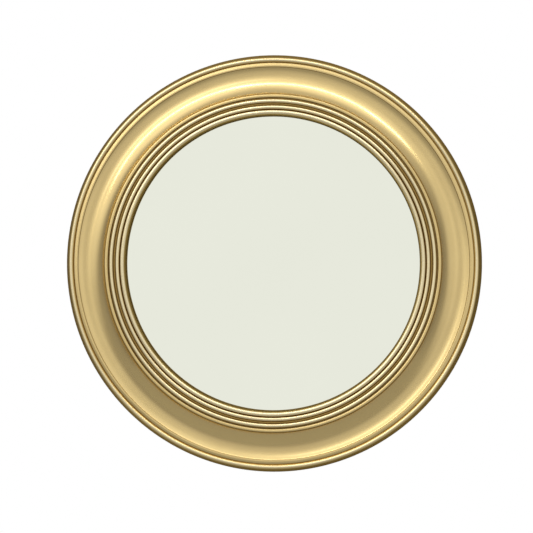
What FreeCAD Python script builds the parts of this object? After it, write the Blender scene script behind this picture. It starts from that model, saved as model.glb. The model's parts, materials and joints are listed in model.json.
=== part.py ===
import FreeCAD, Part
import math
import os
from FreeCAD import Vector

# A round convex mirror in a gilded frame, hung on a wall. Sizes are in millimetres.
# +Z is up, +X is to the right of a person who faces the mirror, and the glass faces -Y.
# The wall is the plane Y = 0, and the mirror's axis meets it at the origin.
# A depth is a distance in front of the wall, so a depth of 14 lies at Y = -14.

# ---- Front moulding: widths run from the rim inwards, heights from the cove's floor ----
overall_diameter = 500.0
rim_flank_width = 2.6         # steep side between the edge and the rim bead
rim_flank_fall = 5.0
rim_outer_radius = 3.2        # round of the rim bead outside its crest
rim_inner_radius = 3.2        # round of the rim bead inside its crest
quirk_width = 2.4             # sloping groove between bead and outer fillet
quirk_depth = 1.2
outer_fillet_width = 2.9
outer_fillet_step = 0.4       # outer fillet stands this much above the cove's edge
cove_outer_run = 10.2         # from the cove's outer edge to its floor
cove_inner_run = 22.9         # from the cove's floor to its inner edge
cove_inner_rise = 11.2
inner_fillet_width = 4.3
inner_fillet_step = 0.8
inner_fillet_crown = 0.5      # the inner fillet is slightly round
moulding_wall = 8.0           # wood behind the cove's floor
moulding_lip = 7.0            # wood in front of the slip's flange
back_edge_chamfer = 1.5

# ---- Reeded slip ----
slip_clearance = 0.3
slip_cover = 5.0              # flange hidden behind the moulding's lip
slip_quirk_width = 0.8
slip_quirk_depth = 1.5
reed_base_step = 0.2          # reeds spring from this much above the inner fillet
reed_radius = 2.8             # first and second reed from outside
sight_reed_radius = 3.1
ledge_width = 1.6             # flat between the first and second reed
ledge_step = 0.3
ledge_quirk_width = 0.3
sight_wall_run = 0.9
sight_wall_height = 2.4
sight_lip = 0.8               # slip's thickness at its sight edge

# ---- Glass and what beds it ----
glass_bulge = 18.0            # rise of the glass at its middle above the sight edge
glass_thickness = 3.0
glass_cover = 8.0             # glass hidden behind the slip
glass_clearance = 1.5
tape_thickness = 0.8
tape_width = 7.0
tape_set_back = 0.8           # tape's edge behind the sight edge
bedding_gap = 0.1             # between curved bedding and the glass
packing_width = 8.5
packing_set_in = 0.5          # packing's outer edge inside the edge of the glass

# ---- Back ring and backboard ----
back_ring_thickness = 9.0
back_ring_inset = 7.0         # back ring's edge inside the moulding's
ring_opening_clearance = 0.5
board_thickness = 3.0
board_cover = 6.0             # backboard carried by the rebate
board_clearance = 0.5

# ---- Turn buttons ----
button_count = 6
button_thickness = 1.2
button_width = 11.0
button_reach = 13.0           # from the pivot to the centre of the button's round end
button_set_out = 8.0          # from the rebate's edge to the pivot
button_gap = 0.1              # play under and over a button

# ---- Screws ----
pan_head_radius = 3.5
pan_head_height = 2.2
pan_shank_radius = 1.75
pivot_clearance = 0.06
strap_hole_clearance = 0.2
pilot_clearance = 0.05
button_screw_bite = 7.0       # shank in the back ring
hanger_screw_bite = 14.4      # shank in the back ring and the moulding
frame_screw_count = 6
frame_screw_inset = 11.0      # from the back ring's edge
frame_screw_length = 15.0
frame_screw_shank_radius = 2.0
frame_screw_head_radius = 4.0
frame_screw_head_depth = 2.4
frame_screw_ring_clearance = 0.25
screw_point_length = 2.5
recess_length = 4.0           # cross recess in every screw head
recess_width = 0.9
recess_depth = 1.2

# ---- Hangers ----
hanger_height = 83.0          # above the mirror's middle
hanger_set_back = 8.0         # from the rebate's edge to the hinge
strap_width = 12.0
strap_length = 36.0           # from the hinge to the centre of the strap's round end
strap_sheet = 0.8
strap_slope = 5.5             # length over which the upper leaf comes down
strap_screw_spacing = 19.0
strap_screw_start = 9.0       # from the hinge to the first screw
wire_radius = 1.25            # D-ring wire
hinge_clearance = 0.06
ring_end_play = 0.5           # between the barrel and the D-ring's corners
ring_corner_radius = 2.75
ring_side_length = 1.5

# ---- Wall pads ----
pad_count = 4
pad_radius = 8.0
pad_inset = 18.0              # from the back ring's edge to a pad's centre
wall_gap = 0.78               # between the wall and the highest hardware

# ---- Depths of the hardware and of the back ----
barrel_radius = wire_radius + hinge_clearance + strap_sheet
strap_thickness = 2 * strap_sheet
button_stack = 2 * button_gap + button_thickness + pan_head_height
hardware_height = max(2 * barrel_radius, strap_thickness + pan_head_height, button_stack)
ring_back = hardware_height + wall_gap
moulding_back = ring_back + back_ring_thickness
board_front = ring_back + board_thickness

# ---- The moulding's profile ----
overall_radius = overall_diameter / 2
rim_bead_r = overall_radius - rim_flank_width
rim_crest_r = rim_bead_r - rim_outer_radius
quirk_r = rim_crest_r - rim_inner_radius
outer_fillet_r = quirk_r - quirk_width
cove_outer_r = outer_fillet_r - outer_fillet_width
cove_floor_r = cove_outer_r - cove_outer_run
cove_inner_r = cove_floor_r - cove_inner_run
moulding_bore_r = cove_inner_r - inner_fillet_width
cove_radius = (cove_inner_run ** 2 + cove_inner_rise ** 2) / (2 * cove_inner_rise)
cove_floor = moulding_back + moulding_wall
cove_outer_edge = cove_floor + cove_radius - math.sqrt(cove_radius ** 2 - cove_outer_run ** 2)
cove_inner_edge = cove_floor + cove_inner_rise
outer_fillet = cove_outer_edge + outer_fillet_step
quirk_floor = outer_fillet - quirk_depth
rim_crest = quirk_floor + rim_inner_radius
rim_bead_foot = rim_crest - rim_outer_radius
rim_widest = rim_bead_foot - rim_flank_fall
inner_fillet = cove_inner_edge + inner_fillet_step
slip_shoulder = inner_fillet - moulding_lip

# ---- The slip's profile ----
slip_front_r = moulding_bore_r - slip_clearance
slip_flange_r = moulding_bore_r + slip_cover
slip_rebate_r = slip_flange_r + slip_clearance
reed_base = inner_fillet + reed_base_step
reed_1_outer_r = slip_front_r - slip_quirk_width
reed_1_inner_r = reed_1_outer_r - 2 * reed_radius
ledge_inner_r = reed_1_inner_r - ledge_width
reed_2_outer_r = ledge_inner_r - ledge_quirk_width
reed_2_inner_r = reed_2_outer_r - 2 * reed_radius
reed_3_inner_r = reed_2_inner_r - 2 * sight_reed_radius
sight_r = reed_3_inner_r - sight_wall_run
sight_edge = reed_base - sight_wall_height
glass_seat = sight_edge - sight_lip

# ---- The glass and the back ring ----
glass_r = sight_r + glass_cover
glass_rebate_r = glass_r + glass_clearance
glass_front_radius = (sight_r ** 2 + glass_bulge ** 2) / (2 * glass_bulge)
glass_back_radius = glass_front_radius - glass_thickness
seat_slope = math.asin(sight_r / glass_front_radius)
seat_drop = math.tan(seat_slope)
bedding_depth = (tape_thickness + 2 * bedding_gap) / math.cos(seat_slope)
glass_pole = glass_seat - bedding_depth + glass_bulge
glass_centre = glass_pole - glass_front_radius
ring_opening_r = glass_rebate_r + ring_opening_clearance
board_r = ring_opening_r + board_cover
board_rebate_r = board_r + board_clearance
back_ring_r = overall_radius - back_ring_inset

# ---- Places of the hardware ----
button_pivot_r = board_rebate_r + button_set_out
button_rear = ring_back - button_gap - button_thickness
frame_screw_circle_r = back_ring_r - frame_screw_inset
frame_screw_offset = 180.0 / frame_screw_count
pad_circle_r = back_ring_r - pad_inset
pad_offset = 180.0 / pad_count
hinge_x = math.sqrt(board_rebate_r ** 2 - hanger_height ** 2) + hanger_set_back
hinge_depth = ring_back - barrel_radius
ring_bar_length = strap_width + 2 * ring_end_play
ring_arc_radius = ring_bar_length / 2 + ring_corner_radius
strap_screw_x = [hinge_x + strap_screw_start, hinge_x + strap_screw_start + strap_screw_spacing]

AXIS = Vector(0, 1, 0)
FORWARD = Vector(0, -1, 0)


# ---- Helpers ----
def spot(radius, depth):
    """A point of a profile that is turned about the mirror's axis."""
    return Vector(radius, -depth, 0)


def polyline(*points):
    """Straight edges through the points."""
    return [Part.makeLine(a, b) for a, b in zip(points, points[1:])]


def arc(start, middle, end):
    return Part.Arc(start, middle, end).toShape()


def quarter(start, end, centre):
    """A quarter round from start to end about centre."""
    swing = (start + end - centre * 2).normalize()
    return arc(start, centre + swing * (start - centre).Length, end)


def reed(outer_r, inner_r):
    """A half round that springs from the reeds' base."""
    radius = (outer_r - inner_r) / 2
    crest = spot(outer_r - radius, reed_base + radius)
    return arc(spot(outer_r, reed_base), crest, spot(inner_r, reed_base))


def turned(edges):
    """The solid that a closed profile makes when it is turned about the mirror's axis."""
    return Part.Face(Part.Wire(edges)).revolve(Vector(), AXIS, 360)


def cylinder(radius, x, z, depth, front):
    """A cylinder along the mirror's axis, from one depth forward to another."""
    return Part.makeCylinder(radius, front - depth, Vector(x, -depth, z), FORWARD)


def cone(radius, front_radius, x, z, depth, front):
    return Part.makeCone(radius, front_radius, front - depth, Vector(x, -depth, z), FORWARD)


def on_circle(radius, count, offset):
    """Evenly spaced (x, z) places on a circle about the mirror's axis."""
    angles = [math.radians(offset + 360.0 * i / count) for i in range(count)]
    return [(radius * math.cos(a), radius * math.sin(a)) for a in angles]


def mirrored(shape):
    """The left-hand twin of a right-hand piece."""
    return shape.mirror(Vector(), Vector(1, 0, 0))


def glass_front(radius):
    """Depth of the glass's front at a radius."""
    return glass_centre + math.sqrt(glass_front_radius ** 2 - radius ** 2)


def glass_back(radius):
    """Depth of the glass's back at a radius."""
    return glass_centre + math.sqrt(glass_back_radius ** 2 - radius ** 2)


# ---- Turned pieces ----
def front_moulding():
    bead_side = spot(rim_bead_r, rim_bead_foot)
    crest = spot(rim_crest_r, rim_crest)
    valley = spot(quirk_r, quirk_floor)
    outer_edge = spot(cove_outer_r, cove_outer_edge)
    inner_edge = spot(cove_inner_r, cove_inner_edge)
    fillet_outside = spot(cove_inner_r, inner_fillet)
    fillet_middle = spot(cove_inner_r - inner_fillet_width / 2, inner_fillet + inner_fillet_crown)
    fillet_inside = spot(moulding_bore_r, inner_fillet)
    edges = polyline(
        spot(slip_rebate_r, moulding_back),
        spot(overall_radius - back_edge_chamfer, moulding_back),
        spot(overall_radius, moulding_back + back_edge_chamfer),
        spot(overall_radius, rim_widest),
        bead_side,
    )
    edges.append(quarter(bead_side, crest, spot(rim_crest_r, rim_bead_foot)))
    edges.append(quarter(crest, valley, spot(rim_crest_r, quirk_floor)))
    edges += polyline(
        valley,
        spot(outer_fillet_r, outer_fillet),
        spot(cove_outer_r, outer_fillet),
        outer_edge,
    )
    edges.append(arc(outer_edge, spot(cove_floor_r, cove_floor), inner_edge))
    edges += polyline(inner_edge, fillet_outside)
    edges.append(arc(fillet_outside, fillet_middle, fillet_inside))
    edges += polyline(
        fillet_inside,
        spot(moulding_bore_r, slip_shoulder),
        spot(slip_rebate_r, slip_shoulder),
        spot(slip_rebate_r, moulding_back),
    )
    holes = [frame_screw_body(x, z, pilot_clearance) for x, z in frame_screw_places]
    holes += [hanger_screw_shank(x, z, pilot_clearance) for x, z in hanger_screw_places]
    return turned(edges).cut(Part.makeCompound(holes))


def reeded_slip():
    ledge = reed_base + ledge_step
    seat_back = glass_seat - glass_seat_fall(glass_rebate_r)
    edges = polyline(
        spot(glass_rebate_r, moulding_back),
        spot(slip_flange_r, moulding_back),
        spot(slip_flange_r, slip_shoulder),
        spot(slip_front_r, slip_shoulder),
        spot(slip_front_r, reed_base - slip_quirk_depth),
        spot(reed_1_outer_r, reed_base - slip_quirk_depth),
        spot(reed_1_outer_r, reed_base),
    )
    edges.append(reed(reed_1_outer_r, reed_1_inner_r))
    edges += polyline(
        spot(reed_1_inner_r, reed_base),
        spot(reed_1_inner_r, ledge),
        spot(ledge_inner_r, ledge),
        spot(ledge_inner_r, reed_base),
        spot(reed_2_outer_r, reed_base),
    )
    edges.append(reed(reed_2_outer_r, reed_2_inner_r))
    edges.append(reed(reed_2_inner_r, reed_3_inner_r))
    edges += polyline(
        spot(reed_3_inner_r, reed_base),
        spot(sight_r, sight_edge),
        spot(sight_r, glass_seat),
        spot(glass_rebate_r, seat_back),
        spot(glass_rebate_r, moulding_back),
    )
    return turned(edges)


def glass_seat_fall(radius):
    """How far the slip's conical seat has fallen back at a radius."""
    return (radius - sight_r) * seat_drop


def convex_glass():
    mid_r = glass_r / 2
    edges = [
        arc(spot(0, glass_pole), spot(mid_r, glass_front(mid_r)), spot(glass_r, glass_front(glass_r))),
        Part.makeLine(spot(glass_r, glass_front(glass_r)), spot(glass_r, glass_back(glass_r))),
        arc(spot(glass_r, glass_back(glass_r)), spot(mid_r, glass_back(mid_r)), spot(0, glass_back(0))),
        Part.makeLine(spot(0, glass_back(0)), spot(0, glass_pole)),
    ]
    return turned(edges)


def glazing_tape():
    inner_r = sight_r + tape_set_back
    outer_r = inner_r + tape_width
    gap = bedding_gap / math.cos(seat_slope)
    thick = tape_thickness / math.cos(seat_slope)
    inner_front = glass_seat - glass_seat_fall(inner_r) - gap
    outer_front = glass_seat - glass_seat_fall(outer_r) - gap
    start = spot(inner_r, inner_front)
    return turned(polyline(
        start,
        spot(outer_r, outer_front),
        spot(outer_r, outer_front - thick),
        spot(inner_r, inner_front - thick),
        start,
    ))


def packing_ring():
    outer_r = glass_r - packing_set_in
    inner_r = outer_r - packing_width
    start = spot(inner_r, board_front)
    return turned(polyline(
        start,
        spot(outer_r, board_front),
        spot(outer_r, glass_back(outer_r) - bedding_gap),
        spot(inner_r, glass_back(inner_r) - bedding_gap),
        start,
    ))


def back_ring():
    ring = cylinder(back_ring_r, 0, 0, ring_back, moulding_back)
    ring = ring.cut(cylinder(ring_opening_r, 0, 0, ring_back, moulding_back))
    ring = ring.cut(cylinder(board_rebate_r, 0, 0, ring_back, board_front))
    holes = [frame_screw_body(x, z, frame_screw_ring_clearance) for x, z in frame_screw_places]
    holes += [hanger_screw_shank(x, z, pilot_clearance) for x, z in hanger_screw_places]
    holes += [button_screw_shank(x, z, pilot_clearance) for x, z in button_places]
    return ring.cut(Part.makeCompound(holes))


def backboard():
    return cylinder(board_r, 0, 0, ring_back, board_front)


# ---- Screws ----
def cross_recess(x, z, head_top):
    """The cross that is sunk in a screw's head, from its top forward."""
    size = [recess_length, recess_depth, recess_width]
    flat = Part.makeBox(*size, Vector(x - size[0] / 2, -head_top - size[1], z - size[2] / 2))
    upright = flat.copy()
    upright.rotate(Vector(x, 0, z), AXIS, 90)
    return flat.fuse(upright)


def pointed_shank(radius, x, z, start, end):
    """A plain shank that comes to a point."""
    straight = cylinder(radius, x, z, start, end - screw_point_length)
    return straight.fuse(cone(radius, 0, x, z, end - screw_point_length, end))


def pan_head(x, z, seat):
    """A domed head that bears on something at the depth called seat."""
    disc = cylinder(pan_head_radius, x, z, seat - pan_head_height, seat)
    dome_radius = (pan_head_radius ** 2 + pan_head_height ** 2) / (2 * pan_head_height)
    dome = Part.makeSphere(dome_radius, Vector(x, pan_head_height - dome_radius - seat, z))
    return disc.common(dome).cut(cross_recess(x, z, seat - pan_head_height))


def button_screw_shank(x, z, clearance=0.0):
    end = ring_back + button_screw_bite
    return pointed_shank(pan_shank_radius + clearance, x, z, button_rear - button_gap, end)


def hanger_screw_shank(x, z, clearance=0.0):
    end = ring_back + hanger_screw_bite
    return pointed_shank(pan_shank_radius + clearance, x, z, ring_back - strap_thickness, end)


def frame_screw_body(x, z, clearance=0.0):
    """A countersunk screw without its recess, or with a clearance the hole for it."""
    head = cone(
        frame_screw_head_radius + clearance,
        frame_screw_shank_radius + clearance,
        x, z, ring_back, ring_back + frame_screw_head_depth,
    )
    end = ring_back + frame_screw_length
    return head.fuse(pointed_shank(frame_screw_shank_radius + clearance, x, z, ring_back, end))


def turn_button_screws():
    seat = button_rear - button_gap
    return [pan_head(x, z, seat).fuse(button_screw_shank(x, z)) for x, z in button_places]


def hanger_screws():
    seat = ring_back - strap_thickness
    return [pan_head(x, z, seat).fuse(hanger_screw_shank(x, z)) for x, z in hanger_screw_places]


def frame_screws():
    return [frame_screw_body(x, z).cut(cross_recess(x, z, ring_back)) for x, z in frame_screw_places]


# ---- Turn buttons ----
def turn_button(x, z):
    """A flat bar with round ends, pointing from its pivot to the mirror's axis."""
    radius = button_width / 2
    tip_x = button_pivot_r - button_reach
    front = button_rear + button_thickness
    plate = cylinder(radius, button_pivot_r, 0, button_rear, front)
    plate = plate.fuse(cylinder(radius, tip_x, 0, button_rear, front))
    corner = Vector(tip_x, -front, -radius)
    plate = plate.fuse(Part.makeBox(button_reach, button_thickness, button_width, corner))
    hole = cylinder(pan_shank_radius + pivot_clearance, button_pivot_r, 0, button_rear, front)
    plate = plate.cut(hole).removeSplitter()
    plate.rotate(Vector(), AXIS, -math.degrees(math.atan2(z, x)))
    return plate


# ---- Hangers ----
def strap_hanger():
    """The right-hand strap: a sheet folded round the D-ring's bar and screwed down flat."""
    half = strap_width / 2
    strap_rear = ring_back - strap_thickness
    end_x = hinge_x + strap_length - half
    barrel = Part.makeCylinder(
        barrel_radius, strap_width, Vector(hinge_x, -hinge_depth, hanger_height - half)
    )
    leaf = Part.Face(Part.makePolygon([
        Vector(hinge_x, -ring_back, hanger_height - half),
        Vector(hinge_x, barrel_radius - hinge_depth, hanger_height - half),
        Vector(hinge_x + strap_slope, -strap_rear, hanger_height - half),
        Vector(end_x, -strap_rear, hanger_height - half),
        Vector(end_x, -ring_back, hanger_height - half),
        Vector(hinge_x, -ring_back, hanger_height - half),
    ])).extrude(Vector(0, 0, strap_width))
    strap = barrel.fuse([leaf, cylinder(half, end_x, hanger_height, strap_rear, ring_back)])
    bore = Part.makeCylinder(
        wire_radius + hinge_clearance, strap_width, Vector(hinge_x, -hinge_depth, hanger_height - half)
    )
    hole_radius = pan_shank_radius + strap_hole_clearance
    holes = [cylinder(hole_radius, x, hanger_height, strap_rear, ring_back) for x in strap_screw_x]
    return strap.cut([bore] + holes).removeSplitter()


def d_ring():
    """The right-hand D-ring, lying flat: a bar in the barrel and a bow towards the middle."""
    half = ring_bar_length / 2
    side_x = hinge_x - ring_corner_radius
    bow_x = side_x - ring_side_length
    diagonal = ring_corner_radius * math.sqrt(0.5)

    def at(x, up):
        return Vector(x, -hinge_depth, hanger_height + up)

    def corner(side):
        middle = at(side_x + diagonal, side * (half + diagonal))
        return arc(at(hinge_x, side * half), middle, at(side_x, side * ring_arc_radius))

    path = [Part.makeLine(at(hinge_x, -half), at(hinge_x, half))]
    path.append(corner(1))
    path.append(Part.makeLine(at(side_x, ring_arc_radius), at(bow_x, ring_arc_radius)))
    path.append(arc(at(bow_x, ring_arc_radius), at(bow_x - ring_arc_radius, 0), at(bow_x, -ring_arc_radius)))
    path.append(Part.makeLine(at(bow_x, -ring_arc_radius), at(side_x, -ring_arc_radius)))
    path.append(corner(-1))
    section = Part.Wire(Part.makeCircle(wire_radius, at(hinge_x, 0), Vector(0, 0, 1)))
    spine = Part.Wire(Part.__sortEdges__(path))
    return spine.makePipeShell([section], True, False)


# ---- Pads ----
def wall_pads():
    places = on_circle(pad_circle_r, pad_count, pad_offset)
    return [cylinder(pad_radius, x, z, 0, ring_back) for x, z in places]


# ---- The pieces by name ----
button_places = on_circle(button_pivot_r, button_count, 0)
frame_screw_places = on_circle(frame_screw_circle_r, frame_screw_count, frame_screw_offset)
hanger_screw_places = [(side * x, hanger_height) for side in (1, -1) for x in strap_screw_x]

pieces = {
    "front_moulding": [front_moulding()],
    "reeded_slip": [reeded_slip()],
    "convex_glass": [convex_glass()],
    "glazing_tape": [glazing_tape()],
    "packing_ring": [packing_ring()],
    "back_ring": [back_ring()],
    "backboard": [backboard()],
    "turn_button_screws": turn_button_screws(),
    "hanger_screws": hanger_screws(),
    "frame_screws": frame_screws(),
    "strap_hanger_right": [strap_hanger()],
    "strap_hanger_left": [mirrored(strap_hanger())],
    "d_ring_right": [d_ring()],
    "d_ring_left": [mirrored(d_ring())],
    "wall_pads": wall_pads(),
}
for number, (x, z) in enumerate(button_places, start=1):
    pieces[f"turn_button_{number}"] = [turn_button(x, z)]

os.makedirs("parts", exist_ok=True)
for name, solids in pieces.items():
    shape = solids[0] if len(solids) == 1 else Part.makeCompound(solids)
    shape.exportStep(f"parts/{name}.step")
    print(name, len(shape.Solids), "solids,", round(shape.Volume), "mm3, valid:", shape.isValid())
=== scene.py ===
# %% [markdown]
# # A convex butler's mirror
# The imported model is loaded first. Every piece of it lies at its real place, in metres, with +Z up
# and the wall at Y = 0, so the glass looks along -Y. All pieces but the tape and the foam ring are
# then modelled again with more care, and every piece gets a finish.

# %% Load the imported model
import bpy
import json
import math
from mathutils import Matrix, Vector


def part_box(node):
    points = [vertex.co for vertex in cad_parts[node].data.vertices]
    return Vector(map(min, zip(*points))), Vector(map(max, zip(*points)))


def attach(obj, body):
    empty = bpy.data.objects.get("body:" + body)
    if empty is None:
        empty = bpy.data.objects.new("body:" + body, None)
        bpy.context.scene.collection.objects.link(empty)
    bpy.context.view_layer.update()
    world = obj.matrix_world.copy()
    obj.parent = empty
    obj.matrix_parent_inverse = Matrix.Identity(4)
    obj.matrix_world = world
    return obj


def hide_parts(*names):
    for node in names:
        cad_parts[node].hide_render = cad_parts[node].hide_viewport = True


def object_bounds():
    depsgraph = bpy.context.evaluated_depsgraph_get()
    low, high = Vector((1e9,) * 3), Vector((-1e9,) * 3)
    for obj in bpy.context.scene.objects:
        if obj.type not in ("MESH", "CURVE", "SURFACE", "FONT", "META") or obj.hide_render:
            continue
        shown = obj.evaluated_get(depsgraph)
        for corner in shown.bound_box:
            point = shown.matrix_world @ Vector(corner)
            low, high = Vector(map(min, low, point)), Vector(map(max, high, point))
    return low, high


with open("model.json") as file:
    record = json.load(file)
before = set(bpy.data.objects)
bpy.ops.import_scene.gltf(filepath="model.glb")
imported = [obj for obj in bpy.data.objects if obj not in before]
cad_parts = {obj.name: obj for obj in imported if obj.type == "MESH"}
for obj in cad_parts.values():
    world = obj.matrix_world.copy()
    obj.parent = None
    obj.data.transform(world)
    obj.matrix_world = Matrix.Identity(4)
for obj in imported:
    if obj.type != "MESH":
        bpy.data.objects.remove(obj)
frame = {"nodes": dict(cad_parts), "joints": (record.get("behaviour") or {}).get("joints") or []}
cad_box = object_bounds()
bpy.ops.object.select_all(action="DESELECT")
corners = [tuple(round(c, 4) for c in corner) for corner in cad_box]
print("loaded", len(frame["nodes"]), "nodes, box", corners)

# %% [markdown]
# ## Steps that every piece needs
# A piece is selected before an operator works on it. Its moves and modifiers are applied at once,
# and most pieces end with a small bevel and smooth shading, because no real edge is quite sharp.

# %% Select, apply and shade
MM = 0.001
SAME_PLACE = 0.01 * MM
BEVEL_DEGREES, SMOOTH_DEGREES = 35, 28


def only(*pieces):
    """Selects these pieces and nothing else, and makes the first one active."""
    bpy.ops.object.select_all(action="DESELECT")
    for piece in pieces:
        piece.select_set(True)
    bpy.context.view_layer.objects.active = pieces[0]


def settle(piece):
    """Puts the piece's move, turn and scale into its mesh."""
    only(piece)
    bpy.ops.object.transform_apply(location=True, rotation=True, scale=True)


def modify(piece, kind, **settings):
    """Adds a modifier with these settings and applies it."""
    only(piece)
    modifier = piece.modifiers.new(kind.title(), kind)
    for key, value in settings.items():
        setattr(modifier, key, value)
    bpy.ops.object.modifier_apply(modifier=modifier.name)


def smooth(piece):
    """Shades the piece smooth, apart from its sharper edges."""
    only(piece)
    bpy.ops.object.shade_smooth_by_angle(angle=math.radians(SMOOTH_DEGREES))


def soften(piece, width):
    """Rounds the sharp edges of a piece a little and shades the rest smooth."""
    sharp = math.radians(BEVEL_DEGREES)
    modify(piece, "BEVEL", width=width, segments=2, limit_method="ANGLE", angle_limit=sharp)
    smooth(piece)


# %% [markdown]
# ## Drawing a turned profile
# A round frame is turned on a lathe, so each of its rings is one outline, swept round the mirror's
# axis. The outline is drawn as by hand: a plane is merged to one point, the point is extruded
# along straight stretches and spun about a centre for round ones, and in the end the whole
# outline is spun once round the axis. A curve with a screw modifier would also do, but here each
# stretch of the moulding keeps its own real size and name.

# %% A pen that draws an outline in edit mode
RING_STEPS, PAD_STEPS, PIN_STEPS = 288, 64, 40
BEAD_STEPS, END_STEPS, CORNER_STEPS = 18, 24, 10


class Pen:
    """Draws an outline in the plane Z = 0.

    Radius runs along X, and depth is the distance in front of the wall.
    """

    def __init__(self, name, radius, depth):
        bpy.ops.object.select_all(action="DESELECT")
        bpy.ops.mesh.primitive_plane_add(size=MM)
        self.piece = bpy.context.object
        self.piece.name = self.piece.data.name = name
        bpy.ops.object.mode_set(mode="EDIT")
        bpy.ops.mesh.merge(type="CENTER")
        bpy.ops.transform.translate(value=(radius, -depth, 0))
        self.radius, self.depth = radius, depth

    def line(self, radius, depth):
        """A straight stretch to a radius and a depth."""
        step = (radius - self.radius, self.depth - depth, 0)
        bpy.ops.mesh.extrude_region_move(TRANSFORM_OT_translate={"value": step})
        self.radius, self.depth = radius, depth

    def round(self, centre_radius, centre_depth, degrees, steps):
        """A round stretch about a centre, by an angle that is positive from +X towards +Y."""
        turn = math.radians(degrees)
        centre = (centre_radius, -centre_depth, 0)
        # The spin operator counts its angle the other way round.
        bpy.ops.mesh.spin(steps=steps, angle=-turn, center=centre, axis=(0, 0, 1))
        x, y = self.radius - centre_radius, centre_depth - self.depth
        self.radius = centre_radius + x * math.cos(turn) - y * math.sin(turn)
        self.depth = centre_depth - x * math.sin(turn) - y * math.cos(turn)

    def merge(self):
        """Makes one point of those that lie on one another, and leaves everything selected."""
        bpy.ops.mesh.select_all(action="SELECT")
        bpy.ops.mesh.remove_doubles(threshold=SAME_PLACE)
        bpy.ops.mesh.select_all(action="SELECT")

    def close(self):
        """Turns all faces outwards, leaves edit mode and returns the piece."""
        bpy.ops.mesh.select_all(action="SELECT")
        bpy.ops.mesh.normals_make_consistent(inside=False)
        bpy.ops.object.mode_set(mode="OBJECT")
        return self.piece

    def turned(self, steps=RING_STEPS):
        """Spins the outline once round the mirror's axis and returns the solid piece."""
        self.merge()
        bpy.ops.mesh.spin(steps=steps, angle=math.tau, center=(0, 0, 0), axis=(0, 1, 0))
        self.merge()
        piece = self.close()
        print(piece.name, len(piece.data.polygons), "faces")
        return piece


def arc_radius(half_width, rise):
    """The radius of an arc that rises so far over half its width."""
    return (half_width ** 2 + rise ** 2) / (2 * rise)


# %% [markdown]
# ## The front moulding
# From the rim inwards the moulding has a steep flank, a bead, a sloping quirk, a narrow fillet, a
# wide cove and a slightly round inner fillet. All of it is one turned ring of wood. Its outer
# radius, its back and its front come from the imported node, and the stretches between are the
# widths that were measured in the photograph.

# %% Size the front moulding
low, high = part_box("front_moulding")
fillet_crown = 0.5 * MM
moulding_back, inner_fillet = -high.y, -low.y - fillet_crown
back_chamfer = 1.5 * MM
overall_r = round(high.x, 4)
rim_bead = 3.2 * MM
rim_bead_r = overall_r - 2.6 * MM
rim_crest_r = rim_bead_r - rim_bead
quirk_r = rim_crest_r - rim_bead
outer_fillet_r = quirk_r - 2.4 * MM
cove_outer_r = outer_fillet_r - 2.9 * MM
cove_floor_r = cove_outer_r - 10.2 * MM
cove_inner_r = cove_floor_r - 22.9 * MM
bore_r = cove_inner_r - 4.3 * MM
slip_rebate_r = bore_r + 5.3 * MM

cove_rise = 11.2 * MM
outer_reach, inner_reach = cove_outer_r - cove_floor_r, cove_floor_r - cove_inner_r
cove_radius = arc_radius(inner_reach, cove_rise)
cove_floor = inner_fillet - 0.8 * MM - cove_rise
cove_outer_edge = cove_floor + cove_radius - math.sqrt(cove_radius ** 2 - outer_reach ** 2)
outer_lean = math.degrees(math.asin(outer_reach / cove_radius))
inner_lean = math.degrees(math.asin(inner_reach / cove_radius))
outer_fillet = cove_outer_edge + 0.4 * MM
quirk_floor = outer_fillet - 1.2 * MM
rim_widest = quirk_floor - 5.0 * MM
slip_shoulder = inner_fillet - 7.0 * MM
half_fillet = (cove_inner_r - bore_r) / 2
crown_radius = arc_radius(half_fillet, fillet_crown)
crown_lean = math.degrees(math.asin(half_fillet / crown_radius))

# %% Turn the front moulding
pen = Pen("gilded_moulding", slip_rebate_r, moulding_back)
pen.line(overall_r - back_chamfer, moulding_back)
pen.line(overall_r, moulding_back + back_chamfer)
pen.line(overall_r, rim_widest)
pen.line(rim_bead_r, quirk_floor)
pen.round(rim_crest_r, quirk_floor, -180, BEAD_STEPS)
pen.line(outer_fillet_r, outer_fillet)
pen.line(cove_outer_r, outer_fillet)
pen.line(cove_outer_r, cove_outer_edge)
pen.round(cove_floor_r, cove_floor + cove_radius, outer_lean + inner_lean, 30)
pen.line(cove_inner_r, inner_fillet)
pen.round(bore_r + half_fillet, inner_fillet + fillet_crown - crown_radius, -2 * crown_lean, 8)
pen.line(bore_r, slip_shoulder)
pen.line(slip_rebate_r, slip_shoulder)
pen.line(slip_rebate_r, moulding_back)
moulding = pen.turned()
soften(moulding, 0.2 * MM)
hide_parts("front_moulding")
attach(moulding, "frame")

# %% [markdown]
# ## The reeded slip
# Inside the moulding lies a second ring with three half-round reeds. A narrow ledge between two
# fine quirks parts the first reed from the second, and the third one, at the sight edge, drops
# to the glass. Each reed is half a turn of the pen about its own centre.

# %% Size the reeded slip
low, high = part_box("reeded_slip")
sight_reed = 3.1 * MM
reed = 2.8 * MM
reed_base = -low.y - sight_reed
slip_flange_r = high.x
slip_front_r = bore_r - 0.3 * MM
slip_quirk = reed_base - 1.5 * MM
reed_1_outer = slip_front_r - 0.8 * MM
reed_1_inner = reed_1_outer - 2 * reed
ledge = reed_base + 0.3 * MM
ledge_inner = reed_1_inner - 1.6 * MM
reed_2_outer = ledge_inner - 0.3 * MM
reed_2_inner = reed_2_outer - 2 * reed
reed_3_inner = reed_2_inner - 2 * sight_reed
sight_r = reed_3_inner - 0.9 * MM
sight_edge = reed_base - 2.4 * MM

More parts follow.
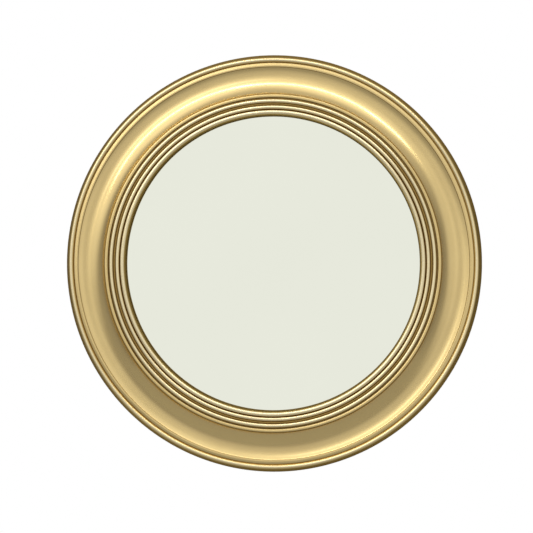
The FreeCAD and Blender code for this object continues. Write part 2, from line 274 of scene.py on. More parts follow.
glass_seat = sight_edge - 0.8 * MM
glass_bulge = 18 * MM
glass_radius = arc_radius(sight_r, glass_bulge)
seat_slope = math.asin(sight_r / glass_radius)
glass_rebate_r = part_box("convex_glass")[1].x + 1.5 * MM
seat_back = glass_seat - (glass_rebate_r - sight_r) * math.tan(seat_slope)

# %% Turn the reeded slip
pen = Pen("gilded_slip", glass_rebate_r, moulding_back)
pen.line(slip_flange_r, moulding_back)
pen.line(slip_flange_r, slip_shoulder)
pen.line(slip_front_r, slip_shoulder)
pen.line(slip_front_r, slip_quirk)
pen.line(reed_1_outer, slip_quirk)
pen.line(reed_1_outer, reed_base)
pen.round(reed_1_outer - reed, reed_base, -180, BEAD_STEPS)
pen.line(reed_1_inner, ledge)
pen.line(ledge_inner, ledge)
pen.line(ledge_inner, reed_base)
pen.line(reed_2_outer, reed_base)
pen.round(reed_2_outer - reed, reed_base, -180, BEAD_STEPS)
pen.round(reed_2_inner - sight_reed, reed_base, -180, BEAD_STEPS)
pen.line(sight_r, sight_edge)
pen.line(sight_r, glass_seat)
pen.line(glass_rebate_r, seat_back)
pen.line(glass_rebate_r, moulding_back)
slip = pen.turned()
soften(slip, 0.12 * MM)
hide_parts("reeded_slip")
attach(slip, "frame")

# %% [markdown]
# ## The convex glass
# The plate is a shallow cap of a sphere, 3 mm thick. Its front is one arc of the pen from the
# axis to the edge, and its back another arc about the same centre.

# %% Model the convex glass
low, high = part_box("convex_glass")
glass_pole, glass_r = -low.y, high.x
glass_thickness = 3 * MM
back_radius = glass_radius - glass_thickness
glass_centre = glass_pole - glass_radius
front_sweep = math.degrees(math.asin(glass_r / glass_radius))
back_sweep = math.degrees(math.asin(glass_r / back_radius))

pen = Pen("mirror_plate", 0, glass_pole)
pen.round(0, glass_centre, front_sweep, 32)
pen.line(glass_r, glass_centre + back_radius * math.cos(math.radians(back_sweep)))
pen.round(0, glass_centre, -back_sweep, 16)
plate = pen.turned()
soften(plate, 0.4 * MM)
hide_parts("convex_glass")
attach(plate, "frame")

# %% [markdown]
# ## The back
# The carcase ring and the board are turned like the front, and their sharp edges are taken off.
# Six countersinks are cut in the ring with a boolean, for the screws that draw it to the
# moulding. A piece that comes in several copies is modelled on the mirror's axis and then copied
# to its places on a circle about it.

# %% Cut, copy and place
def even_out(piece):
    """Lets the large faces of a flat piece set the shading of its rounded edges."""
    modify(piece, "WEIGHTED_NORMAL", keep_sharp=True)


def cut(piece, tool, operation="DIFFERENCE"):
    """Cuts the tool out of the piece, and clears the tool away.

    With INTERSECT it keeps what is inside the tool instead.
    """
    modify(piece, "BOOLEAN", operation=operation, solver="EXACT", object=tool)
    bpy.data.objects.remove(tool)


def on_circle(radius, count, first):
    """Evenly spaced (x, z) places on a circle about the mirror's axis, from a clock angle."""
    angles = [math.radians(first + 360 * i / count) for i in range(count)]
    return [(radius * math.cos(a), radius * math.sin(a)) for a in angles]


def copied(piece, places):
    """Moves copies of a piece from the mirror's axis to each (x, z) place and joins them."""
    copies = []
    for x, z in places:
        only(piece)
        bpy.ops.object.duplicate()
        bpy.ops.transform.translate(value=(x, 0, z))
        copies.append(bpy.context.object)
    name = piece.name
    bpy.data.objects.remove(piece)
    only(*copies)
    bpy.ops.object.join()
    joined = bpy.context.object
    settle(joined)
    joined.name = joined.data.name = name
    print(name, len(places), "copies,", len(joined.data.polygons), "faces")
    return joined


def stands_for(piece, node, body):
    """The piece replaces a CAD node, which is hidden, and rides on a body."""
    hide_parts(node)
    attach(piece, body)


# %% Turn the back ring and the backboard
low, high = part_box("back_ring")
ring_back, ring_front, ring_r = -high.y, -low.y, high.x
low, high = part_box("backboard")
board_front, board_r = -low.y, high.x
rebate_r, opening_r = board_r + 0.5 * MM, board_r - 6 * MM

pen = Pen("carcase_ring", rebate_r, ring_back)
pen.line(ring_r, ring_back)
pen.line(ring_r, ring_front)
pen.line(opening_r, ring_front)
pen.line(opening_r, board_front)
pen.line(rebate_r, board_front)
pen.line(rebate_r, ring_back)
ring = pen.turned()
soften(ring, 0.7 * MM)

pen = Pen("closing_board", 0, ring_back)
pen.line(board_r, ring_back)
pen.line(board_r, board_front)
pen.line(0, board_front)
board = pen.turned()
soften(board, 0.6 * MM)

# %% Countersink the back ring
frame_screw_inset, frame_screw_count, first_frame_screw = 11 * MM, 6, 30
sink_r, shank_hole_r, sink_depth = 4.25 * MM, 2.25 * MM, 2.4 * MM
over = MM
frame_screw_places = on_circle(ring_r - frame_screw_inset, frame_screw_count, first_frame_screw)
pen = Pen("countersink", 0, ring_back - over)
pen.line(sink_r + over * (sink_r - shank_hole_r) / sink_depth, ring_back - over)
pen.line(shank_hole_r, ring_back + sink_depth)
pen.line(shank_hole_r, ring_front + over)
pen.line(0, ring_front + over)
cut(ring, copied(pen.turned(PIN_STEPS), frame_screw_places))
smooth(ring)
stands_for(ring, "back_ring", "frame")
stands_for(board, "backboard", "frame")

# %% [markdown]
# ## Screws
# Every screw has a cross in its head. The pan heads are domed, and the countersunk heads sit
# 0.1 mm below the back ring's face.

# %% Model a screw
def cut_cross(piece, head_top):
    """Sinks a cross in a screw's head, 4 mm long, 0.9 mm wide and 1.2 mm deep."""
    length, width, depth = 4 * MM, 0.9 * MM, 1.2 * MM
    for size in ((length, 2 * depth, width), (width, 2 * depth, length)):
        bpy.ops.object.select_all(action="DESELECT")
        bpy.ops.mesh.primitive_cube_add(size=1, location=(0, -head_top, 0), scale=size)
        bar = bpy.context.object
        settle(bar)
        cut(piece, bar)
    smooth(piece)


def screw(name, head_top, head_r, head_height, shank_r, tip, domed):
    """A screw on the mirror's axis, with its head towards the wall."""
    point = 2.5 * MM
    pen = Pen(name, 0, head_top)
    if domed:
        dome_r = arc_radius(head_r, head_height)
        lean = math.degrees(math.asin(head_r / dome_r))
        pen.round(0, head_top + dome_r, -lean, 10)
    else:
        pen.line(head_r, head_top)
    pen.line(shank_r, head_top + head_height)
    pen.line(shank_r, tip - point)
    pen.line(0, tip)
    piece = pen.turned(PIN_STEPS)
    soften(piece, 0.12 * MM)
    cut_cross(piece, head_top)
    return piece


def pan_screws(name, node, places):
    """A set of pan-head screws that are as long and lie as deep as their node."""
    low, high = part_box(node)
    return copied(screw(name, -high.y, pan_r, pan_height, pan_shank_r, -low.y, True), places)


# %% Model the three sets of screws
joints = {joint["name"]: joint for joint in frame["joints"]}
pivot_r = joints["turn_button_1_turn"]["pos_m"][0]
hinge_x, _, hinge_z = joints["d_ring_right_swing"]["pos_m"]
button_count = 6
strap_holes = (hinge_x + 9 * MM, hinge_x + 28 * MM)
pan_r, pan_height, pan_shank_r = 3.5 * MM, 2.2 * MM, 1.75 * MM
flat_sunk, flat_r, flat_height, flat_shank_r = 0.1 * MM, 3.9 * MM, 2.3 * MM, 2 * MM

button_screw_places = on_circle(pivot_r, button_count, 0)
button_screws = pan_screws("button_pan_screws", "turn_button_screws", button_screw_places)
stands_for(button_screws, "turn_button_screws", "frame")

hanger_screw_places = [(side * x, hinge_z) for side in (-1, 1) for x in strap_holes]
hanger_screws = pan_screws("hanger_pan_screws", "hanger_screws", hanger_screw_places)
stands_for(hanger_screws, "hanger_screws", "frame")

tip = -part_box("frame_screws")[0].y
flat_top = ring_back + flat_sunk
flat = screw("countersunk_screws", flat_top, flat_r, flat_height, flat_shank_r, tip, False)
frame_screws = copied(flat, frame_screw_places)
stands_for(frame_screws, "frame_screws", "frame")

# %% [markdown]
# ## Turn buttons and pads
# A turn button is stamped from brass sheet: a bar with round ends whose edges the tumbling drum
# has rounded. It is drawn flat, filled, pushed out to its thickness and stood up.

# %% Stamp a flat piece and punch a hole
def stood_up(piece, rear):
    """Turns a piece that was drawn flat so that it lies against the mirror's back, at a depth."""
    piece.rotation_euler.x = math.radians(90)
    piece.location.y = -rear
    settle(piece)
    return piece


def pulled_out(pen, height):
    """Pulls the pen's outline out of its plane to a height and returns the piece."""
    bpy.ops.mesh.extrude_region_move(TRANSFORM_OT_translate={"value": (0, 0, height)})
    return pen.close()


def stamped(pen, thickness, rear):
    """Fills the pen's outline, gives it a thickness and stands it up."""
    pen.merge()
    bpy.ops.mesh.edge_face_add()
    return stood_up(pulled_out(pen, thickness), rear)


def punch(piece, radius, places):
    """Punches round holes at (x, z) places."""
    pin = Pen("pin", 0, 0)
    pin.line(radius, 0)
    pin.line(radius, 2 * ring_back)
    pin.line(0, 2 * ring_back)
    cut(piece, copied(pin.turned(PIN_STEPS), places))


# %% Stamp the first turn button
low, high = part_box("turn_button_1")
half = high.z
tip_x = low.x + half
button_hole_r = 1.81 * MM
pen = Pen("stamped_button_1", pivot_r, half)
pen.round(pivot_r, 0, 180, END_STEPS)
pen.line(tip_x, -half)
pen.round(tip_x, 0, 180, END_STEPS)
pen.line(pivot_r, half)
button = stamped(pen, high.y - low.y, -high.y)
punch(button, button_hole_r, [(pivot_r, 0)])
soften(button, 0.3 * MM)
even_out(button)

# %% Copy it to the six places
buttons = [button]
for number in range(2, button_count + 1):
    only(button)
    bpy.ops.object.duplicate()
    copy = bpy.context.object
    copy.name = copy.data.name = f"stamped_button_{number}"
    copy.rotation_euler.y = -math.radians(360 / button_count * (number - 1))
    settle(copy)
    buttons.append(copy)
for number, piece in enumerate(buttons, 1):
    stands_for(piece, f"turn_button_{number}", f"turn_button_{number}")
print(len(buttons), "turn buttons")

# %% Mould the wall pads
pad_r, pad_edge = 8 * MM, 0.9 * MM
pad_inset, pad_count, first_pad = 18 * MM, 4, 45
pen = Pen("rubber_pads", 0, 0)
pen.line(pad_r - pad_edge, 0)
pen.round(pad_r - pad_edge, pad_edge, -90, 6)
pen.line(pad_r, ring_back)
pen.line(0, ring_back)
pads = copied(pen.turned(PAD_STEPS), on_circle(ring_r - pad_inset, pad_count, first_pad))
smooth(pads)
stands_for(pads, "wall_pads", "frame")

# %% [markdown]
# ## Straps and D-rings
# A strap is sheet, 0.8 mm thick, folded double round the D-ring's bar. Its section is drawn from
# the end of the lower leaf round the barrel to the end of the upper leaf, pulled out to the
# strap's width and thickened. A stamped blank then trims the far end round. The D-ring is a
# closed line of round wire. Both are mirrored for the left-hand side.

# %% Fold the right-hand strap
sheet, wire_r = 0.8 * MM, 1.25 * MM
barrel_play = 0.06 * MM
barrel_r = wire_r + barrel_play + sheet / 2
hinge_depth = ring_back - barrel_r - sheet / 2
lower_leaf, upper_leaf = ring_back - sheet / 2, ring_back - 1.5 * sheet
low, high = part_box("strap_hanger_right")
half = (high.z - low.z) / 2
end_x = high.x - half
slope_end, lean = hinge_x + 5.5 * MM, 27.2

pen = Pen("folded_strap_right", end_x + half, lower_leaf)
pen.line(hinge_x, lower_leaf)
pen.round(hinge_x, hinge_depth, -180 - lean, 26)
pen.line(slope_end, upper_leaf)
pen.line(end_x + half, upper_leaf)
pen.merge()
strap = pulled_out(pen, high.z - low.z)
strap.location.z = low.z
settle(strap)
modify(strap, "SOLIDIFY", thickness=sheet - 0.02 * MM, offset=0)

# %% Trim and punch it
blank_start = hinge_x - 5 * MM
strap_hole_r = 1.95 * MM
pen = Pen("blank", end_x, half)
pen.round(end_x, 0, 180, END_STEPS)
pen.line(blank_start, -half)
pen.line(blank_start, half)
pen.line(end_x, half)
blank = stamped(pen, 2 * ring_back, 0)
blank.location.z = hinge_z
settle(blank)
cut(strap, blank, "INTERSECT")
punch(strap, strap_hole_r, [(x, hinge_z) for x in strap_holes])
soften(strap, 0.1 * MM)
even_out(strap)

# %% Bend the right-hand D-ring
bar_half, corner_r = half + 0.5 * MM, 2.75 * MM
side_x, bow_r = hinge_x - corner_r, bar_half + corner_r
bow_x = side_x - 1.5 * MM
pen = Pen("wire_ring_right", hinge_x, bar_half)
pen.line(hinge_x, -bar_half)
pen.round(side_x, -bar_half, 90, CORNER_STEPS)
pen.line(bow_x, -bow_r)
pen.round(bow_x, 0, 180, 40)
pen.line(side_x, bow_r)
pen.round(side_x, bar_half, 90, CORNER_STEPS)
pen.merge()
wire = stood_up(pen.close(), hinge_depth)
wire.location.z = hinge_z
settle(wire)
bpy.ops.object.convert(target="CURVE")
wire = bpy.context.object
wire.data.bevel_depth, wire.data.bevel_resolution = wire_r, 6
bpy.ops.object.convert(target="MESH")
wire = bpy.context.object
bpy.ops.object.shade_smooth()

# %% Mirror both for the left
straps, wires = [strap], [wire]
for pieces, name in ((straps, "folded_strap_left"), (wires, "wire_ring_left")):
    only(pieces[0])
    bpy.ops.object.duplicate()
    twin = bpy.context.object
    twin.name = twin.data.name = name
    twin.scale.x = -1
    settle(twin)
    bpy.ops.object.mode_set(mode="EDIT")
    bpy.ops.mesh.select_all(action="SELECT")
    bpy.ops.mesh.normals_make_consistent(inside=False)
    bpy.ops.object.mode_set(mode="OBJECT")
    pieces.append(twin)
for side, hanger, ring_wire in zip(("right", "left"), straps, wires):
    stands_for(hanger, f"strap_hanger_{side}", "frame")
    stands_for(ring_wire, f"d_ring_{side}", f"d_ring_{side}")
    print(side, len(hanger.data.polygons), "and", len(ring_wire.data.polygons), "faces")

# %% [markdown]
# ## Finishes
# A finish is a node tree. The helpers below make one with its Principled shader, and add nodes
# to it one at a time. A place on the mirror is read from an object's own coordinates, which are
# the mirror's, because every piece was modelled where it lies.

# %% Start a finish
def finish(name):
    """A new material, its node tree and its Principled shader."""
    material = bpy.data.materials.new(name)
    material.use_nodes = True
    return material, material.node_tree, material.node_tree.nodes["Principled BSDF"]


def feed(tree, node, sources):
    """Links each of a node's inputs to its socket, or sets it to its plain value."""
    for key, source in sources.items():
        if isinstance(source, bpy.types.NodeSocket):
            tree.links.new(source, node.inputs[key])
        else:
            node.inputs[key].default_value = source


def add(tree, kind, sources=None, **values):
    """Adds a node with these properties and feeds its inputs."""
    node = tree.nodes.new(kind)
    for key, value in values.items():
        setattr(node, key, value)
    feed(tree, node, sources or {})
    return node


def dress(material, *pieces):
    """Gives the pieces one material all over."""
    for piece in pieces:
        piece.data.materials.clear()
        piece.data.materials.append(material)


def dress_nodes(material, *names):
    """Puts a finish in the material slots of CAD nodes."""
    for name in names:
        for slot in frame["nodes"][name].material_slots:
            slot.material = material
    print(material.name, "on", names)


# %% Helpers that measure, mix and roughen
def ramp_between(tree, value, start, end):
    """0 at start, 1 at end, and smooth between them."""
    to_min, to_max = (0, 1) if start < end else (1, 0)
    sources = {"Value": value, "From Min": min(start, end), "From Max": max(start, end),
               "To Min": to_min, "To Max": to_max}
    ramp = add(tree, "ShaderNodeMapRange", sources, interpolation_type="SMOOTHSTEP")
    return ramp.outputs["Result"]


def combine(tree, operation, first, *others):
    """Numbers put together one after another in Math nodes."""
    for other in others:
        node = add(tree, "ShaderNodeMath", {0: first, 1: other}, operation=operation)
        first = node.outputs["Value"]
    return first


def blend_colours(tree, factor, a, b):
    """A mix of two colours, each a socket or a plain colour."""
    return add(tree, "ShaderNodeMix", {0: factor, 6: a, 7: b}, data_type="RGBA").outputs[2]


def own_place(tree):
    """A point of the piece, in metres from where the mirror's axis meets the wall."""
    return add(tree, "ShaderNodeTexCoord").outputs["Object"]


def radius_and_depth(tree, place):
    """A place's distance from the mirror's axis, and its distance in front of the wall."""
    flat = add(tree, "ShaderNodeVectorMath", {0: place, 1: (1, 0, 1)}, operation="MULTIPLY")
    length = add(tree, "ShaderNodeVectorMath", {0: flat.outputs[0]}, operation="LENGTH")
    split = add(tree, "ShaderNodeSeparateXYZ", {0: place})
    return length.outputs["Value"], combine(tree, "MULTIPLY", split.outputs["Y"], -1.0)


def noise(tree, place, scale, detail=4.0, stretch=(1, 1, 1)):
    """A noise from 0 to 1 over a place that may be stretched."""
    point = add(tree, "ShaderNodeVectorMath", {0: place, 1: stretch}, operation="MULTIPLY")
    sources = {"Vector": point.outputs[0], "Scale": scale, "Detail": detail}
    return add(tree, "ShaderNodeTexNoise", sources).outputs["Fac"]


def spread(tree, value, low, high, start=0.3, end=0.7):
    """Maps the middle of a noise to a range from low to high."""
    sources = {"Value": value, "From Min": start, "From Max": end, "To Min": low, "To Max": high}
    return add(tree, "ShaderNodeMapRange", sources).outputs["Result"]


def bump(tree, shader, value, strength, distance):
    """Raises the surface by a noise, over a distance in metres."""
    sources = {"Height": value, "Strength": strength, "Distance": distance}
    feed(tree, shader, {"Normal": add(tree, "ShaderNodeBump", sources).outputs["Normal"]})


# %% [markdown]
# ## Gilding
# Gold lacquer over turned wood is a satin metal under a clear coat. Toning wax is rubbed over it
# and stays where the cloth doesn't reach, and painted shade is laid in with it: the quirks of the
# moulding, the rim's flank and the hollows low between the reeds are darkened by both. The wall
# at the sight edge is painted almost black, as painted shade. Two masks say where the wax and the
# painted shade are. One is a ramp over the radius, with a dark band at each quirk, and the other
# reads how deep a point of the slip lies below the crests of its reeds. A third mask makes the
# crests paler, partly where the cloth has burnished them and partly as a painted highlight. The
# lacquer ends at the moulding's back edge, and the wood behind it is stained brown.

# %% Mask the toning wax and the painted shade
def band(tree, value, middle, half, full=0.0):
    """1 within full of a middle, 0 beyond half on each side of it, and smooth between them."""
    below = ramp_between(tree, value, middle - half, middle - full)
    above = ramp_between(tree, value, middle + half, middle + full)
    return combine(tree, "MINIMUM", below, above)


def on_slip(tree, radius, mask):
    """Keeps a mask where the slip is."""
    inside = ramp_between(tree, radius, slip_front_r, slip_front_r - 0.3 * MM)
    return combine(tree, "MULTIPLY", inside, mask)


def wax_and_shade_mask(tree, radius, depth):
    """Where toning wax stays and shade is painted, from 0 to 1."""
    # Each quirk's band, the rim's flank and the low hollows of the slip are darkened by toning wax
    # and by painted shade.
    quirks = ((quirk_r, 1.5), (cove_outer_r, 0.8), (cove_inner_r, 1.3), (bore_r, 1.3))
    masks = [band(tree, radius, middle, half * MM) for middle, half in quirks]
    flank = ramp_between(tree, radius, rim_crest_r + 1.4 * MM, rim_bead_r)
    low = ramp_between(tree, depth, reed_base + 2.6 * MM, reed_base + 1.5 * MM)
    return combine(tree, "MAXIMUM", flank, *masks, on_slip(tree, radius, low))


def burnish_and_highlight_mask(tree, radius, depth):
    """Where the crests of the rim and of the reeds are paler, partly burnished by the cloth and
    partly a painted highlight, from 0 to 1.
    """
    # The paler crests are partly burnish and partly a painted highlight.
    rim = band(tree, radius, rim_crest_r, 1.6 * MM, full=0.4 * MM)
    high = ramp_between(tree, depth, reed_base + 2.2 * MM, reed_base + 2.7 * MM)
    return combine(tree, "MAXIMUM", rim, on_slip(tree, radius, high))


# %% Mix the gilding's colour
LACQUER, LACQUER_SHADE = (0.785, 0.59, 0.245, 1), (0.705, 0.52, 0.208, 1)
# The wax colour also stands for painted shade, and the burnished colour also stands for a painted
# highlight.
BURNISHED_HIGHLIGHT, WAX_AND_SHADE_COLOUR = (0.90, 0.80, 0.52, 1), (0.235, 0.135, 0.026, 1)
SIGHT_SHADOW, STAINED_WOOD = (0.16, 0.10, 0.035, 1), (0.12, 0.07, 0.035, 1)
BURNISH_AND_HIGHLIGHT_AMOUNT, WAX_AND_SHADE_AMOUNT = 0.7, 0.85
lacquer_end = moulding_back + 1.2 * MM

gilding, tree, shader = finish("gilding")
place = own_place(tree)
radius, depth = radius_and_depth(tree, place)
burnish_and_highlight, wax_and_shade = burnish_and_highlight_mask(tree, radius, depth), wax_and_shade_mask(tree, radius, depth)
# Painted shade: the wall at the sight edge is made almost black.
sight_wall_shade = ramp_between(tree, radius, reed_3_inner + 0.5 * MM, reed_3_inner)
wood = ramp_between(tree, depth, lacquer_end + 0.5 * MM, lacquer_end)

cloud = noise(tree, place, scale=22.0, detail=5.0)
gold = blend_colours(tree, cloud, LACQUER, LACQUER_SHADE)
# Paler crests are burnish and a painted highlight. Darker quirks, rim flank and reed hollows are
# toning wax and painted shade.
gold = blend_colours(tree, combine(tree, "MULTIPLY", burnish_and_highlight, BURNISH_AND_HIGHLIGHT_AMOUNT), gold, BURNISHED_HIGHLIGHT)
toned_and_shaded = blend_colours(tree, combine(tree, "MULTIPLY", wax_and_shade, WAX_AND_SHADE_AMOUNT), gold, WAX_AND_SHADE_COLOUR)
toned_and_shaded = blend_colours(tree, sight_wall_shade, toned_and_shaded, SIGHT_SHADOW)
toned_and_shaded = blend_colours(tree, wood, toned_and_shaded, STAINED_WOOD)

# %% Make it satin under its coat
grain = noise(tree, place, scale=240.0, detail=2.0)
satin = spread(tree, grain, 0.20, 0.26, start=0.0, end=1.0)
waxed_and_shaded = combine(tree, "MULTIPLY", wax_and_shade, 0.15)
unlacquered = combine(tree, "MULTIPLY", wood, 0.4)
covered = combine(tree, "MAXIMUM", wax_and_shade, sight_wall_shade, wood)
feed(tree, shader, {
    "Base Color": toned_and_shaded,
    "Metallic": combine(tree, "SUBTRACT", 1.0, wood),
    "Roughness": combine(tree, "ADD", satin, waxed_and_shaded, unlacquered),
    "Coat Weight": combine(tree, "SUBTRACT", 1.0, covered),
    "Coat Roughness": 0.07,
    "Specular Tint": (0.93, 0.80, 0.52, 1),
})
dress(gilding, moulding, slip)
print("gilding:", len(tree.nodes), "nodes")

# %% [markdown]
# ## Mirror
# Silvering behind clear glass is close to a perfect mirror, with a slight grey-green tint. The
# tint has faint clouds, as hand-silvered glass has, and darkens a little where the silvering ends
# behind the slip.

# %% Mix the mirror
SILVER, SILVER_CLOUD = (0.812, 0.827, 0.727, 1), (0.788, 0.803, 0.705, 1)
EDGE_DARK, EDGE_DARKENING = (0.30, 0.29, 0.22, 1), 0.5

mirror, tree, shader = finish("mirror_silvering")
place = own_place(tree)
radius, _ = radius_and_depth(tree, place)
clouds = noise(tree, place, scale=7.0, detail=2.0)
tint = blend_colours(tree, clouds, SILVER, SILVER_CLOUD)
# Darker towards the edge of the glass, under the slip.
darker_edge = combine(tree, "MULTIPLY", ramp_between(tree, radius, sight_r, glass_r), EDGE_DARKENING)
tint = blend_colours(tree, darker_edge, tint, EDGE_DARK)
feed(tree, shader, {"Base Color": tint, "Metallic": 1.0, "Roughness": 0.0})
dress(mirror, plate)

# %% [markdown]
# ## Wood, board and rubber
# The carcase is fibreboard, with a fine fleck and soft clouds of colour. The board is hardboard,
# darker and smoother, with fibres that lie flat in its face. The rubber pads, the foam and the
# tape are black and matt, each with a grain of its own size.

# %% Mix the fibreboard
BOARD_DARK, BOARD_PALE = (0.46, 0.32, 0.185, 1), (0.55, 0.40, 0.245, 1)
BOARD_FLECK = (0.24, 0.15, 0.075, 1)

fibreboard, tree, shader = finish("fibreboard")
place = own_place(tree)
fleck = noise(tree, place, scale=900.0, detail=3.0, stretch=(1, 0.4, 1))
clouds = spread(tree, noise(tree, place, scale=14.0), 0, 1)
flecked = spread(tree, fleck, 0, 0.75, start=0.55, end=0.75)
base = blend_colours(tree, clouds, BOARD_DARK, BOARD_PALE)
base = blend_colours(tree, flecked, base, BOARD_FLECK)
feed(tree, shader, {"Base Color": base, "Roughness": spread(tree, fleck, 0.72, 0.9)})
bump(tree, shader, fleck, strength=0.35, distance=0.2 * MM)
dress(fibreboard, ring)

# %% Mix the hardboard
HARD_DARK, HARD_PALE = (0.255, 0.155, 0.08, 1), (0.33, 0.21, 0.115, 1)
HARD_FIBRE = (0.16, 0.09, 0.045, 1)

hardboard, tree, shader = finish("hardboard")
place = own_place(tree)
fibres = noise(tree, place, scale=260.0, detail=5.0, stretch=(1, 1, 3.5))
clouds = spread(tree, noise(tree, place, scale=9.0), 0, 1)
base = blend_colours(tree, clouds, HARD_DARK, HARD_PALE)
base = blend_colours(tree, spread(tree, fibres, 0, 0.6), base, HARD_FIBRE)
feed(tree, shader, {"Base Color": base, "Roughness": spread(tree, fibres, 0.38, 0.55)})
bump(tree, shader, fibres, strength=0.25, distance=0.15 * MM)
dress(hardboard, board)

# %% Mix the black soft materials
def matt_black(name, dark, pale, scale, rough, rougher, relief):
    """A matt black with a grain that varies its tone, its roughness and its surface."""
    material, tree, shader = finish(name)
    grain = noise(tree, own_place(tree), scale, detail=2.0)
    tone = blend_colours(tree, spread(tree, grain, 0, 1), dark, pale)
    feed(tree, shader, {"Base Color": tone, "Roughness": spread(tree, grain, rough, rougher)})
    bump(tree, shader, grain, strength=0.4, distance=relief)
    return material


rubber = matt_black(
    "pad_rubber", dark=(0.022, 0.022, 0.021, 1), pale=(0.05, 0.05, 0.048, 1),
    scale=700.0, rough=0.5, rougher=0.72, relief=0.2 * MM)
foam = matt_black(
    "closed_cell_foam", dark=(0.05, 0.05, 0.05, 1), pale=(0.11, 0.11, 0.11, 1),
    scale=1200.0, rough=0.85, rougher=0.95, relief=0.4 * MM)
tape = matt_black(
    "cloth_tape", dark=(0.02, 0.02, 0.02, 1), pale=(0.04, 0.04, 0.04, 1),
    scale=1600.0, rough=0.7, rougher=0.85, relief=0.1 * MM)
dress(rubber, pads)
dress_nodes(foam, "packing_ring")
dress_nodes(tape, "glazing_tape")

# %% [markdown]
# ## Plated metal
# The brass is brushed along each button, towards the mirror's axis, so the scratches are a noise
# that is fine round the axis and long in the radius. Nickel is bright with faint cloudy haze.
# Zinc is duller and slightly yellow, in small patches.

# %% Mix the brass
BRASS, BRASS_TARNISH = (0.80, 0.60, 0.28, 1), (0.62, 0.43, 0.17, 1)
ROUND_AXIS, ALONG_RADIUS = 0.2, 0.04

brass, tree, shader = finish("brushed_brass")
place = own_place(tree)
radius, depth = radius_and_depth(tree, place)
split = add(tree, "ShaderNodeSeparateXYZ", {0: place})
clock = combine(tree, "ARCTAN2", split.outputs["Z"], split.outputs["X"])
polar = add(tree, "ShaderNodeCombineXYZ", {
    0: combine(tree, "MULTIPLY", clock, ROUND_AXIS),
    1: combine(tree, "MULTIPLY", radius, ALONG_RADIUS),
    2: depth,
})
scratches = noise(tree, polar.outputs[0], scale=2600.0, detail=3.0)
tarnish = spread(tree, noise(tree, place, scale=90.0), 0, 1)
feed(tree, shader, {
    "Base Color": blend_colours(tree, tarnish, BRASS, BRASS_TARNISH),
    "Metallic": 1.0,
    "Roughness": spread(tree, scratches, 0.22, 0.42),
})
bump(tree, shader, scratches, strength=0.25, distance=0.05 * MM)
dress(brass, button_screws, *buttons)

# %% Mix the nickel and the zinc
def plating(name, bright, dull, scale, sharp, hazy):
    """A plated metal with patches of a duller tone and a rougher surface."""
    material, tree, shader = finish(name)
    place = own_place(tree)
    patches = noise(tree, place, scale, detail=5.0)
    feed(tree, shader, {
        "Base Color": blend_colours(tree, spread(tree, patches, 0, 1), bright, dull),
        "Metallic": 1.0,
        "Roughness": spread(tree, patches, sharp, hazy),
    })
    fine = noise(tree, place, scale=2500.0, detail=2.0)
    bump(tree, shader, fine, strength=0.1, distance=0.05 * MM)
    return material


nickel = plating(
    "nickel_plate", bright=(0.68, 0.66, 0.61, 1), dull=(0.54, 0.52, 0.47, 1),
    scale=130.0, sharp=0.14, hazy=0.3)
zinc = plating(
    "zinc_plate", bright=(0.60, 0.59, 0.52, 1), dull=(0.50, 0.475, 0.36, 1),
    scale=420.0, sharp=0.3, hazy=0.48)
dress(nickel, *straps, *wires)
dress(zinc, hanger_screws, frame_screws)

# %% [markdown]
# ## Camera
# The photograph looks at the mirror almost square on, through a long lens. The frame's middle
# lies a little to the left of the mirror's and a little below it.

# %% Set the camera
AZIMUTH, ELEVATION = math.radians(5.0), math.radians(-0.5)
LENS, SENSOR = 300.0, 36.0
FRAME_PIXELS = 533
MIRROR_PIXEL = (273.6, 263.4)
MIRROR_RADIUS_PIXELS = 208.3
pixel = overall_r / MIRROR_RADIUS_PIXELS
towards = Vector((
    math.sin(AZIMUTH) * math.cos(ELEVATION),
    -math.cos(AZIMUTH) * math.cos(ELEVATION),
    math.sin(ELEVATION),
))
middle = Vector((0, -rim_widest, 0))
turn = towards.to_track_quat("Z", "Y")
right, up = turn @ Vector((1, 0, 0)), turn @ Vector((0, 1, 0))
aim = middle - right * (MIRROR_PIXEL[0] - FRAME_PIXELS / 2) * pixel
aim -= up * (FRAME_PIXELS / 2 - MIRROR_PIXEL[1]) * pixel
distance = FRAME_PIXELS * pixel * LENS / SENSOR
bpy.ops.object.camera_add(location=aim + towards * distance, rotation=turn.to_euler())
camera = bpy.context.object
camera.data.lens, camera.data.sensor_width = LENS, SENSOR
bpy.context.scene.camera = camera
print("camera", round(distance, 3), "m away")

# %% [markdown]
# ## Studio
# The world is white for the camera and for the polished glass, which shows that background too.
# The satin metal sees a studio that is bright straight ahead, falls off to the sides, and has
# three wide soft windows, at the upper left, above and at the right. Three strip lights hang
# before the left and the upper one. A fourth window, straight behind the mirror, lights the plated
# hardware there. A narrow glow nearer to straight ahead lies where the polished glass would show
# a lamp, so it is in the world.

# %% Say where things are in the studio
def from_clock(degrees, away):
    """A direction at a clock angle and so many degrees away from straight ahead.

    The clock angle counts from +X towards +Z.
    """
    clock, away = math.radians(degrees), math.radians(away)
    return math.sin(away) * math.cos(clock), -math.cos(away), math.sin(away) * math.sin(clock)


def patch(tree, direction, towards, inner, outer, amount):
    """A soft bright patch, full within inner degrees of a direction and gone beyond outer."""
    centre = Vector(towards).normalized()
    near = add(tree, "ShaderNodeVectorMath", {0: direction, 1: centre}, operation="DOT_PRODUCT")
    start, end = math.cos(math.radians(outer)), math.cos(math.radians(inner))
    full = ramp_between(tree, near.outputs["Value"], start, end)
    return combine(tree, "MULTIPLY", full, amount)


# %% Describe the studio by direction
ROOM, SIDES, OVERHEAD = 0.24, 0.14, 0.38
GLOW_CLOCKS, GLOW_AWAY = (114, 124, 134, 144, 154), 24
AHEAD, BEHIND = (0, -1, 0), (0, 1, 0)

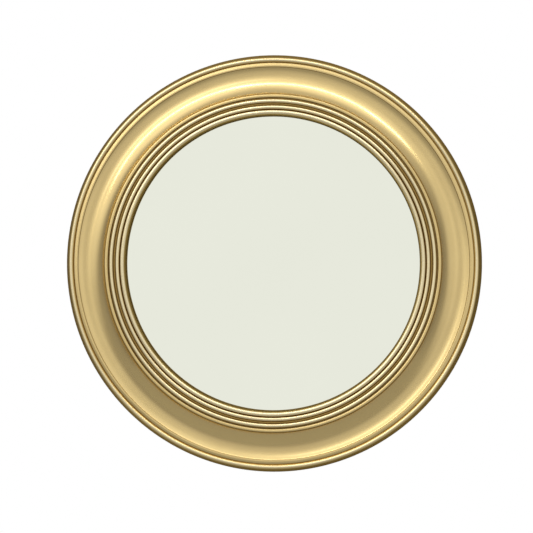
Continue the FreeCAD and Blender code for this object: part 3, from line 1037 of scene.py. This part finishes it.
world = bpy.data.worlds.new("studio")
bpy.context.scene.world = world
world.use_nodes = True
tree = world.node_tree
direction = add(tree, "ShaderNodeTexCoord").outputs["Generated"]
split = add(tree, "ShaderNodeSeparateXYZ", {0: direction})
forward = combine(tree, "MULTIPLY", split.outputs["Y"], -1.0)
sides = combine(tree, "MULTIPLY", ramp_between(tree, forward, -0.2, 0.35), SIDES)
overhead = ramp_between(tree, split.outputs["Z"], 0.15, 0.9)
overhead = combine(tree, "MULTIPLY", overhead, OVERHEAD)
ahead = patch(tree, direction, AHEAD, inner=0, outer=32, amount=0.33)
left_window = patch(tree, direction, from_clock(138, 46), inner=10, outer=44, amount=0.78)
upper_window = patch(tree, direction, from_clock(72, 44), inner=8, outer=36, amount=0.62)
right_window = patch(tree, direction, from_clock(8, 38), inner=4, outer=34, amount=0.42)
back_window = patch(tree, direction, BEHIND, inner=8, outer=44, amount=0.6)
windows = combine(tree, "MAXIMUM", left_window, upper_window, right_window)
windows = combine(tree, "ADD", windows, back_window)
glows = [patch(tree, direction, from_clock(clock, GLOW_AWAY), inner=1, outer=5, amount=1.2)
         for clock in GLOW_CLOCKS]
glow = combine(tree, "MAXIMUM", *glows)
studio = combine(tree, "ADD", sides, ROOM, ahead, overhead, windows, glow)

# %% Say which rays see what
WHITE, DIFFUSE_LEVEL = 1.0, 0.75


def seen_plainly(tree):
    """1 for the camera, through glass, and in a sharp mirror."""
    rays = add(tree, "ShaderNodeLightPath").outputs
    plain = rays["Is Camera Ray"], rays["Is Transmission Ray"], rays["Is Singular Ray"]
    return combine(tree, "MAXIMUM", *plain)


def choose(tree, factor, otherwise, chosen):
    """One number where the factor is 0 and another where it is 1."""
    sources = {0: factor, 2: otherwise, 3: chosen}
    return add(tree, "ShaderNodeMix", sources, data_type="FLOAT").outputs[0]


glossy = add(tree, "ShaderNodeLightPath").outputs["Is Glossy Ray"]
lit = choose(tree, glossy, DIFFUSE_LEVEL, studio)
level = choose(tree, seen_plainly(tree), lit, WHITE)
feed(tree, tree.nodes["Background"], {"Strength": level, "Color": (1, 1, 1, 1)})


# %% Hang the strip lights
def strip_light(name, clock, away, length, width, radiance, distance=3.0):
    """A long lamp of an even radiance that looks at the mirror's middle.

    It lies along a circle about the mirror's axis.
    """
    out = Vector(from_clock(clock, away))
    along = Vector((-math.sin(math.radians(clock)), 0, math.cos(math.radians(clock))))
    facing = Matrix((along, out.cross(along), out)).transposed().to_euler()
    bpy.ops.object.light_add(type="AREA", location=out * distance, rotation=facing)
    lamp = bpy.context.object
    lamp.name = lamp.data.name = name
    lamp.data.shape, lamp.data.size, lamp.data.size_y = "RECTANGLE", length, width
    lamp.data.energy = radiance * math.pi * length * width
    lamp.visible_camera = False
    print(name, round(lamp.data.energy, 1), "W")


strip_light("left_strip", clock=129, away=44, length=2.1, width=0.25, radiance=4.4)
strip_light("upper_strip", clock=84, away=45, length=1.8, width=0.25, radiance=4.4)
strip_light("small_strip", clock=54, away=49, length=0.7, width=0.25, radiance=5.0)

# %% Lay the floor
FLOOR_SIZE, FLOOR_HEIGHT = 4.0, -1.3
PAPER_GLOW = 0.565
bpy.ops.mesh.primitive_plane_add(size=FLOOR_SIZE, location=(0, 0, FLOOR_HEIGHT))
floor = bpy.context.object
floor.name = floor.data.name = "floor"
settle(floor)
paper, tree, shader = finish("floor_paper")
feed(tree, shader, {
    "Base Color": (0.5, 0.5, 0.49, 1),
    "Roughness": 0.9,
    "Emission Color": (1, 1, 1, 1),
    "Emission Strength": combine(tree, "MULTIPLY", seen_plainly(tree), PAPER_GLOW),
})
dress(paper, floor)

# %% [markdown]
# ## Colour
# The colours are shown as they are, with no film look over them.

# %% Set the view transform
bpy.context.scene.view_settings.view_transform = "Standard"
